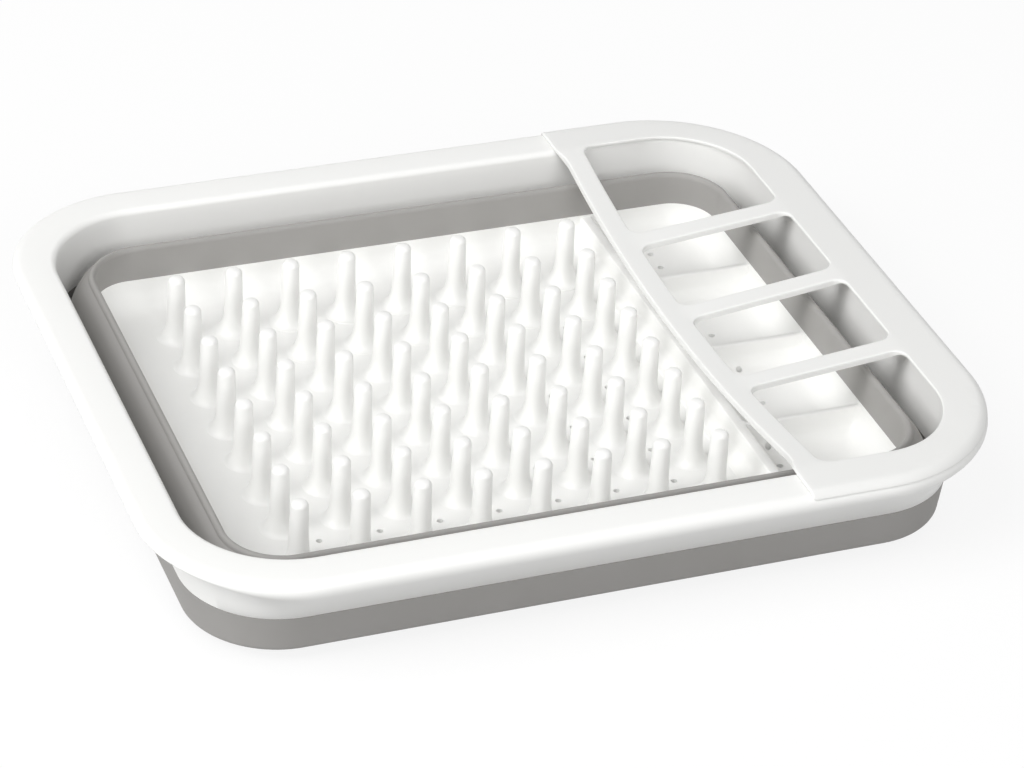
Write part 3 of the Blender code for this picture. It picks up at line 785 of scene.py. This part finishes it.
@dataclass
class Pegs:
    """The field of pegs that hold plates apart, eight by eight, on the dished floor."""

    wardrobe: Wardrobe
    tray: Tray
    columns: int = 8
    rows: int = 8
    height: float = 0.0305
    tip: float = 0.0037
    tip_edge: float = 0.0022
    crown: float = 0.0003
    shaft_foot: float = 0.0042
    flare_top: float = 0.0105
    flare: float = 0.0090
    feather: float = 0.0098
    feather_drop: float = 0.00006
    root: float = 0.0010
    tip_angle: float = 80.0
    tip_steps: int = 6
    flare_steps: int = 8
    sides: int = 20

    def profile(self) -> list[Point]:
        """Returns the peg's profile from its tip to the middle of its buried root."""
        shoulder = self.height - self.crown - self.tip_edge
        points = [(0.0, self.height)]
        middle = (self.tip - self.tip_edge, shoulder)
        points += arc(middle, self.tip_edge, self.tip_angle, 0, self.tip_steps)
        points.append((mix(self.tip, self.shaft_foot, 0.5), mix(shoulder, self.flare_top, 0.5)))
        reach = self.flare - self.shaft_foot
        for step in range(self.flare_steps + 1):
            angle = math.radians(90 * step / self.flare_steps)
            points.append((self.flare - reach * math.cos(angle), self.flare_top * (1 - math.sin(angle))))
        points += [(self.feather, -self.feather_drop), (self.feather, -self.root), (0.0, -self.root)]
        return points

    def tree(self) -> bpy.types.NodeTree:
        """Builds the node tree that stands the peg at each place of the field and lifts it with the dish."""
        tree = bpy.data.node_groups.new("peg_field", "GeometryNodeTree")
        kinds = {
            "Geometry": "NodeSocketGeometry", "Columns": "NodeSocketInt", "Rows": "NodeSocketInt",
            "Length": "NodeSocketFloat", "Width": "NodeSocketFloat", "Middle": "NodeSocketVector",
            "Half Length": "NodeSocketFloat", "Half Width": "NodeSocketFloat", "Reach": "NodeSocketFloat",
            "Dish": "NodeSocketFloat", "Material": "NodeSocketMaterial",
        }
        for name, kind in kinds.items():
            tree.interface.new_socket(name, in_out="INPUT", socket_type=kind)
        tree.interface.new_socket("Geometry", in_out="OUTPUT", socket_type="NodeSocketGeometry")
        given = add_node(tree, "NodeGroupInput").outputs
        field_grid = add_node(
            tree, "GeometryNodeMeshGrid",
            {
                "Size X": given["Length"], "Size Y": given["Width"],
                "Vertices X": given["Columns"], "Vertices Y": given["Rows"],
            },
        )
        moved = add_node(
            tree, "GeometryNodeTransform",
            {"Geometry": field_grid.outputs["Mesh"], "Translation": given["Middle"]},
        )
        place = add_node(tree, "GeometryNodeInputPosition")
        split = add_node(tree, "ShaderNodeSeparateXYZ", {"Vector": place.outputs["Position"]})
        shares = []
        for axis, half, middle in (("X", "Half Length", TUB_X), ("Y", "Half Width", 0.0)):
            away = calculate(tree, "ABSOLUTE", calculate(tree, "SUBTRACT", split.outputs[axis], middle))
            left = calculate(tree, "SUBTRACT", given[half], away)
            share = calculate(tree, "DIVIDE", left, given["Reach"])
            eased = add_node(
                tree, "ShaderNodeMapRange", {"Value": share}, interpolation_type="SMOOTHSTEP",
            )
            shares.append(eased.outputs["Result"])
        rest = calculate(tree, "SUBTRACT", 1.0, calculate(tree, "MULTIPLY", *shares))
        rise = calculate(tree, "MULTIPLY", rest, given["Dish"])
        lift = add_node(tree, "ShaderNodeCombineXYZ", {"Z": rise})
        stood = add_node(
            tree, "GeometryNodeSetPosition",
            {"Geometry": moved.outputs["Geometry"], "Offset": lift.outputs["Vector"]},
        )
        planted = add_node(
            tree, "GeometryNodeInstanceOnPoints",
            {"Points": stood.outputs["Geometry"], "Instance": given["Geometry"]},
        )
        real = add_node(tree, "GeometryNodeRealizeInstances", {"Geometry": planted.outputs["Instances"]})
        painted = add_node(
            tree, "GeometryNodeSetMaterial",
            {"Geometry": real.outputs["Geometry"], "Material": given["Material"]},
        )
        add_node(tree, "NodeGroupOutput", {"Geometry": painted.outputs["Geometry"]})
        return tree

    def build(self) -> bpy.types.Object:
        """Builds the pegs as one piece that rides on the base."""
        seed = add_piece("pegs", finish_mesh("peg", *turned(self.profile(), self.sides)))
        tree = self.tree()
        length = self.tray.pitch_x * (self.columns - 1)
        width = self.tray.pitch_y * (self.rows - 1)
        values = {
            "Columns": self.columns,
            "Rows": self.rows,
            "Length": length,
            "Width": width,
            "Middle": (TUB_X + self.tray.peg_first_x + length / 2, 0.0, FLOOR_TOP),
            "Half Length": TRAY.high[0] - TUB_X - self.tray.cove,
            "Half Width": TRAY.high[1] - self.tray.cove,
            "Reach": self.tray.dish_reach,
            "Dish": self.tray.dish,
            "Material": self.wardrobe.get(Finish.TRAY),
        }
        modifier = seed.modifiers.new("peg_field", "NODES")
        modifier.node_group = tree
        for item in tree.interface.items_tree:
            if item.in_out == "INPUT" and item.name in values:
                modifier[item.identifier] = values[item.name]
        seen = seed.evaluated_get(bpy.context.evaluated_depsgraph_get())
        mesh = bpy.data.meshes.new_from_object(seen)
        seed.modifiers.remove(modifier)
        seed.data = mesh
        self.wardrobe.dress(seed, Finish.TRAY, "white_tray")
        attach(seed, "base")
        return seed


@dataclass
class Feet:
    """The tray's four bosses and the soft pads under them."""

    wardrobe: Wardrobe
    tray: Tray
    inset: float = 0.0185
    boss: float = 0.0115
    pad: float = 0.0100
    pad_height: float = 0.0027
    boss_bottom: float = 0.0030
    # The pad's moulded ring underneath, as (radius, height)
    ring: tuple[Point, ...] = ((0.0075, 0.0), (0.0071, 0.0005), (0.0063, 0.0005), (0.0059, 0.0))
    ease: float = 0.0006
    ease_steps: int = 4
    sides: int = 48

    def places(self) -> dict[str, Point]:
        """Returns each foot's name and place."""
        half_x, half_y = TRAY.high[0] - TUB_X - self.inset, TRAY.high[1] - self.inset
        return {
            f"{side}_{end}": (TUB_X + way_x * half_x, way_y * half_y)
            for end, way_x in (("left", -1), ("right", 1)) for side, way_y in (("front", -1), ("back", 1))
        }

    def build(self) -> list[bpy.types.Object]:
        """Builds the bosses as one piece and each pad as its own."""
        ease = self.ease
        points, faces = [], []
        pieces = []
        for name, (x, y) in self.places().items():
            top = self.tray.floor_height(x, y) - self.tray.wall / 2
            profile = [(0.0, top), (self.boss, top)]
            profile += arc((self.boss - ease, self.boss_bottom + ease), ease, 0, -90, self.ease_steps)
            profile.append((0.0, self.boss_bottom))
            solid, skin = turned(profile, self.sides)
            first = len(points)
            points += [point + Vector((x, y, 0)) for point in solid]
            faces += [tuple(index + first for index in face) for face in skin]

            profile = [(0.0, self.pad_height)]
            profile += arc((self.pad - ease, self.pad_height - ease), ease, 90, 0, self.ease_steps)
            profile += arc((self.pad - ease, ease), ease, 0, -90, self.ease_steps)
            profile += [*self.ring, (0.0, 0.0)]
            solid, skin = turned(profile, self.sides)
            placed = [point + Vector((x, y, 0)) for point in solid]
            pad = add_piece(f"pad_{name}", finish_mesh(f"pad_{name}", placed, skin))
            self.wardrobe.dress(pad, Finish.PAD, "grey_pad")
            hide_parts(f"foot_pad_{name}")
            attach(pad, "base")
            pieces.append(pad)
        bosses = add_piece("foot_bosses", finish_mesh("foot_bosses", points, faces))
        self.wardrobe.dress(bosses, Finish.TRAY, "white_tray")
        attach(bosses, "base")
        return [bosses, *pieces]


@dataclass
class CutleryFrame:
    """The lift-off frame: a cover wrapped over the rim's end, a dipping long bar and three cross bars.

    It is laid out as a flat pattern first, then bowed, dipped and wrapped into place.
    """

    wardrobe: Wardrobe
    left: float = 0.0823
    bar_right: float = 0.0919
    left_bow: float = 0.0036
    left_flare: float = 0.0030
    flare_over: float = 0.0120
    right_bow: float = 0.0030
    dip: float = 0.0089
    cross_half: float = 0.0048
    cross_places: tuple[float, ...] = (-0.0598, 0.0, 0.0598)
    cover: float = 0.0016
    hem: float = 0.0006
    seat: float = 0.0003
    bar: float = 0.0030
    edge: float = 0.0007
    corner: float = 0.0055
    wrap: float = math.radians(52.7)
    wrap_radius: float = 0.0053
    rim_flat: Outline = field(default_factory=lambda: RIM.grown(-RIM_EDGE))
    thicken_over: float = 0.0060
    end_corner: float = 0.0015
    edge_angles: tuple[int, ...] = (90, 60, 35, 15, 0)
    edge_spacing: float = 0.0030
    opening_line: float = 0.0025
    wrap_steps: int = 8
    wrap_spacing: float = 0.0040
    wrap_inside: float = 1e-5
    fill_spacing: float = 0.0035
    fill_margin: float = 0.0012

    def outline(self) -> Outline:
        """Returns the flat pattern's outer edge."""
        full = self.rim_flat.grown(self.wrap * self.wrap_radius)
        radii = (full.radii[0], self.end_corner, self.end_corner, full.radii[3])
        return replace(full, low=(TUB_X + self.left, full.low[1]), radii=radii)

    def openings(self) -> list[Outline]:
        """Returns the four openings of the flat pattern, front to back."""
        edges = [COVER_OPENING.low[1]]
        for place in self.cross_places:
            edges += [place - self.cross_half, place + self.cross_half]
        edges.append(COVER_OPENING.high[1])
        wide = COVER_OPENING.radii[0]
        found = []
        for low, high in zip(edges[::2], edges[1::2]):
            radii = (
                wide if high == edges[-1] else self.corner, self.corner,
                self.corner, wide if low == edges[0] else self.corner,
            )
            found.append(Outline((TUB_X + self.bar_right, low), (COVER_OPENING.high[0], high), radii))
        return found

    def shape(self, x: float, y: float, height: float) -> Vector:
        """Bends a place of the flat pattern, at a height over the rim's top, into the frame's form."""
        bow = max(1 - (y / COVER_OPENING.high[1]) ** 2, 0.0)
        bar_right = TUB_X + self.bar_right
        reach = min(max((COVER_OPENING.high[0] - x) / (COVER_OPENING.high[0] - bar_right), 0.0), 1.0)
        shift = self.right_bow * reach
        flare = 0.0
        if x < bar_right:
            leftward = (bar_right - x) / (self.bar_right - self.left)
            shift = mix(self.right_bow, self.left_bow, leftward)
            from_end = max(COVER_OPENING.high[1] - abs(y), 0.0) / self.flare_over
            flare = self.left_flare * leftward * max(1 - from_end, 0.0) ** 2
        gap, out = self.rim_flat.distance(x, y)
        if gap <= 0:
            return Vector((x - shift * bow - flare, y, RIM_TOP + height - self.dip * bow * reach))
        angle = gap / self.wrap_radius
        round_by = RIM_EDGE + height
        foot = Vector((x - flare, y)) + out * (round_by * math.sin(angle) - gap)
        return Vector((foot.x, foot.y, RIM_TOP - RIM_EDGE + round_by * math.cos(angle)))

    def build(self) -> bpy.types.Object:
        """Builds the frame, which stands for its solid and rides on its own body."""
        outline = self.outline()
        holes = self.openings()
        eases = [self.edge * (1 - math.sin(math.radians(angle))) for angle in self.edge_angles]
        loops = [outline.grown(-ease).loop(self.edge_spacing) for ease in eases]
        for hole in holes:
            loops += [hole.grown(by).loop(self.edge_spacing) for by in (*eases, self.opening_line)]
        wrapped_over = self.wrap * self.wrap_radius
        arounds = [
            self.rim_flat.grown(wrapped_over * step / self.wrap_steps - self.wrap_inside)
            for step in range(self.wrap_steps)
        ]
        arounds.append(COVER_OPENING.grown(self.thicken_over))
        for around in arounds:
            loops.append(replace(around, low=(TUB_X, around.low[1])).loop(self.wrap_spacing))

        def edge_distance(x: float, y: float) -> float:
            """Returns how far inside the pattern's material a place is."""
            return min(-outline.distance(x, y)[0], *(hole.distance(x, y)[0] for hole in holes))

        def upper(x: float, y: float) -> Vector:
            """Returns the place of the frame's top, with its eased edges."""
            inside = min(max(edge_distance(x, y), 0.0), self.edge)
            drop = self.edge - math.sqrt(max(self.edge ** 2 - (self.edge - inside) ** 2, 0.0))
            wrapped = min(max(self.rim_flat.distance(x, y)[0] / wrapped_over, 0.0), 1.0)
            height = mix(self.cover, self.hem, wrapped)
            return self.shape(x, y, height - drop * (height - self.seat) / (self.cover - self.seat))

        def lower(x: float, y: float) -> Vector:
            """Returns the place of the frame's underside."""
            share = smooth(-COVER_OPENING.distance(x, y)[0] / self.thicken_over)
            thickness = mix(self.cover - self.seat, self.bar, share)
            return self.shape(x, y, self.cover - thickness)

        extra = [
            point for point in grid(outline.low, outline.high, self.fill_spacing)
            if edge_distance(point.x, point.y) > self.fill_margin
        ]
        mesh = moulded_sheet(
            "cutlery_frame_shell", loops, [], extra, lambda x, y: edge_distance(x, y) > 0, upper, lower,
        )
        piece = add_piece("cutlery_frame_shell", mesh)
        self.wardrobe.dress(piece, Finish.FRAME, "white_frame")
        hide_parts("cutlery_frame")
        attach(piece, "cutlery_frame")
        return piece


@dataclass(frozen=True)
class Lamp:
    """A square soft lamp that looks at the tub, with its side in metres and its power in watts."""

    name: str
    place: Place
    side: float
    power: float


@dataclass
class Studio:
    """The floor, the soft lamps and the camera."""

    camera_place: Place = (-0.49308, -1.22736, 0.88146)
    camera_turn: Place = (57.0094, -2.952, -20.3698)
    lens: float = 130.078
    sensor: float = 36.0
    nearest: float = 0.05
    farthest: float = 50.0
    lamps: tuple[Lamp, ...] = (
        Lamp("side_lamp", (-2.4, -0.3, 1.5), 1.6, 31.0),
        Lamp("front_lamp", (0.0, -2.4, 1.3), 1.2, 21.5),
        Lamp("top_lamp", (-1.5, -0.6, 2.3), 1.6, 29.0),
    )
    ambient: float = 0.36
    floor_size: float = 12.0
    floor_bounce: str = "BABABA"
    floor_shade: str = "6A6A6A"
    floor_roughness: float = 0.9
    floor_glow: float = 0.86

    def camera(self) -> None:
        """Makes the camera at the photograph's viewing angle."""
        data = bpy.data.cameras.new("camera")
        data.lens = self.lens
        data.sensor_width = self.sensor
        data.clip_start, data.clip_end = self.nearest, self.farthest
        camera = bpy.data.objects.new("camera", data)
        camera.location = self.camera_place
        camera.rotation_euler = Euler([math.radians(angle) for angle in self.camera_turn])
        bpy.context.scene.collection.objects.link(camera)
        bpy.context.scene.camera = camera

    def hang(self, lamp: Lamp) -> None:
        """Adds one of the lamps."""
        data = bpy.data.lights.new(lamp.name, "AREA")
        data.size = lamp.side
        data.energy = lamp.power
        hung = bpy.data.objects.new(lamp.name, data)
        hung.location = lamp.place
        hung.rotation_euler = (-Vector(lamp.place)).to_track_quat("-Z", "Y").to_euler()
        bpy.context.scene.collection.objects.link(hung)

    def world(self) -> None:
        """Makes a white world that lights the object softly and shows as white."""
        world = bpy.data.worlds.new("world")
        bpy.context.scene.world = world
        world.use_nodes = True
        tree = world.node_tree
        strength = add_node(
            tree, "ShaderNodeMapRange", {"Value": seen_rays(tree), "To Min": self.ambient, "To Max": 1.0},
        )
        back = tree.nodes["Background"]
        back.inputs["Color"].default_value = (1, 1, 1, 1)
        tree.links.new(strength.outputs["Result"], back.inputs["Strength"])

    def floor(self) -> None:
        """Makes the pale floor, which glows where it is seen and keeps a faint shadow of the object."""
        half = self.floor_size / 2
        corners = [(-half, -half, 0), (half, -half, 0), (half, half, 0), (-half, half, 0)]
        mesh = bpy.data.meshes.new("floor")
        mesh.from_pydata(corners, [], [(0, 1, 2, 3)])
        floor = add_piece("floor", mesh)
        material = bpy.data.materials.new("floor_pale")
        material.use_nodes = True
        tree = material.node_tree
        shader = tree.nodes["Principled BSDF"]
        seen = seen_rays(tree)
        tint = add_node(
            tree, "ShaderNodeMix",
            {"Factor": seen, 6: linear(self.floor_bounce), 7: linear(self.floor_shade)},
            data_type="RGBA",
        )
        tree.links.new(tint.outputs[2], shader.inputs["Base Color"])
        shader.inputs["Roughness"].default_value = self.floor_roughness
        shader.inputs["Specular IOR Level"].default_value = 0.0
        glow = calculate(tree, "MULTIPLY", seen, self.floor_glow)
        light = add_node(tree, "ShaderNodeEmission", {"Color": (1, 1, 1, 1), "Strength": glow})
        both = add_node(tree, "ShaderNodeAddShader", {0: shader.outputs[0], 1: light.outputs[0]})
        tree.links.new(both.outputs[0], tree.nodes["Material Output"].inputs["Surface"])
        floor.data.materials.append(material)

    def build(self) -> None:
        """Builds the studio."""
        self.camera()
        self.world()
        self.floor()
        for lamp in self.lamps:
            self.hang(lamp)
        bpy.context.scene.view_settings.view_transform = "Standard"


def main() -> None:
    """Builds the drainer's looks around its frame and reports each piece."""
    logging.basicConfig(level=logging.INFO, format="%(name)s: %(message)s")
    for thing in list(bpy.data.objects):
        bpy.data.objects.remove(thing, do_unlink=True)
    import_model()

    Studio().build()
    wardrobe = Wardrobe()
    tray = Tray(wardrobe)
    tray.build()
    Pegs(wardrobe, tray).build()
    Feet(wardrobe, tray).build()
    Bellows(wardrobe).build()
    Rim(wardrobe).build()
    CutleryFrame(wardrobe).build()


if __name__ == "__main__":
    main()
